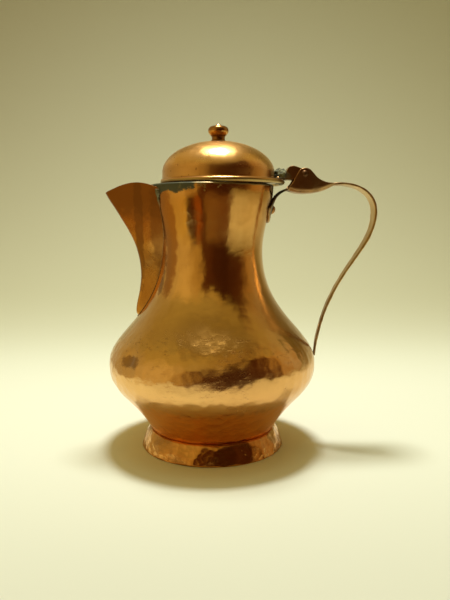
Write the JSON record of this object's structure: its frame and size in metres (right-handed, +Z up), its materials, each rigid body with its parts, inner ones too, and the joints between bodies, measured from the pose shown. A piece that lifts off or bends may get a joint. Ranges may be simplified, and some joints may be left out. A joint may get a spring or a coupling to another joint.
{
  "type": "coffee pot",
  "caption": "Hand-raised copper coffee pot with a wide low belly, waisted neck, folded spout, strap handle and hinged domed lid.",
  "frame": {"origin": "centre of the foot ring's resting face, on the body's axis", "axes": "+Z up along the body's axis, +X towards the handle, the spout along -X"},
  "size_m": [0.1847, 0.1426, 0.2208],
  "materials": {
    "polished_copper": "old polished copper, warm orange brown",
    "hammered_copper": "hammered copper, brown in the hollows",
    "dark_copper": "dark tarnished copper"
  },
  "bodies": {
    "pot": {"vessel_body": "polished_copper", "bottom_plate": "polished_copper", "foot_ring": "hammered_copper", "spout": "hammered_copper", "handle": "dark_copper", "handle_rivet": "dark_copper", "hinge_pin": "dark_copper"},
    "lid": {"lid": "polished_copper", "lid_knob": "polished_copper", "knob_rivet": "polished_copper", "hinge_lug": "dark_copper", "lug_rivets": "dark_copper"}
  },
  "joints": [
    {"name": "lid_hinge", "type": "hinge", "parent": "pot", "child": "lid", "pos_m": [0.0622, 0, 0.1874], "axis": [0, 1, 0], "range_deg": [0, 160]}
  ]
}
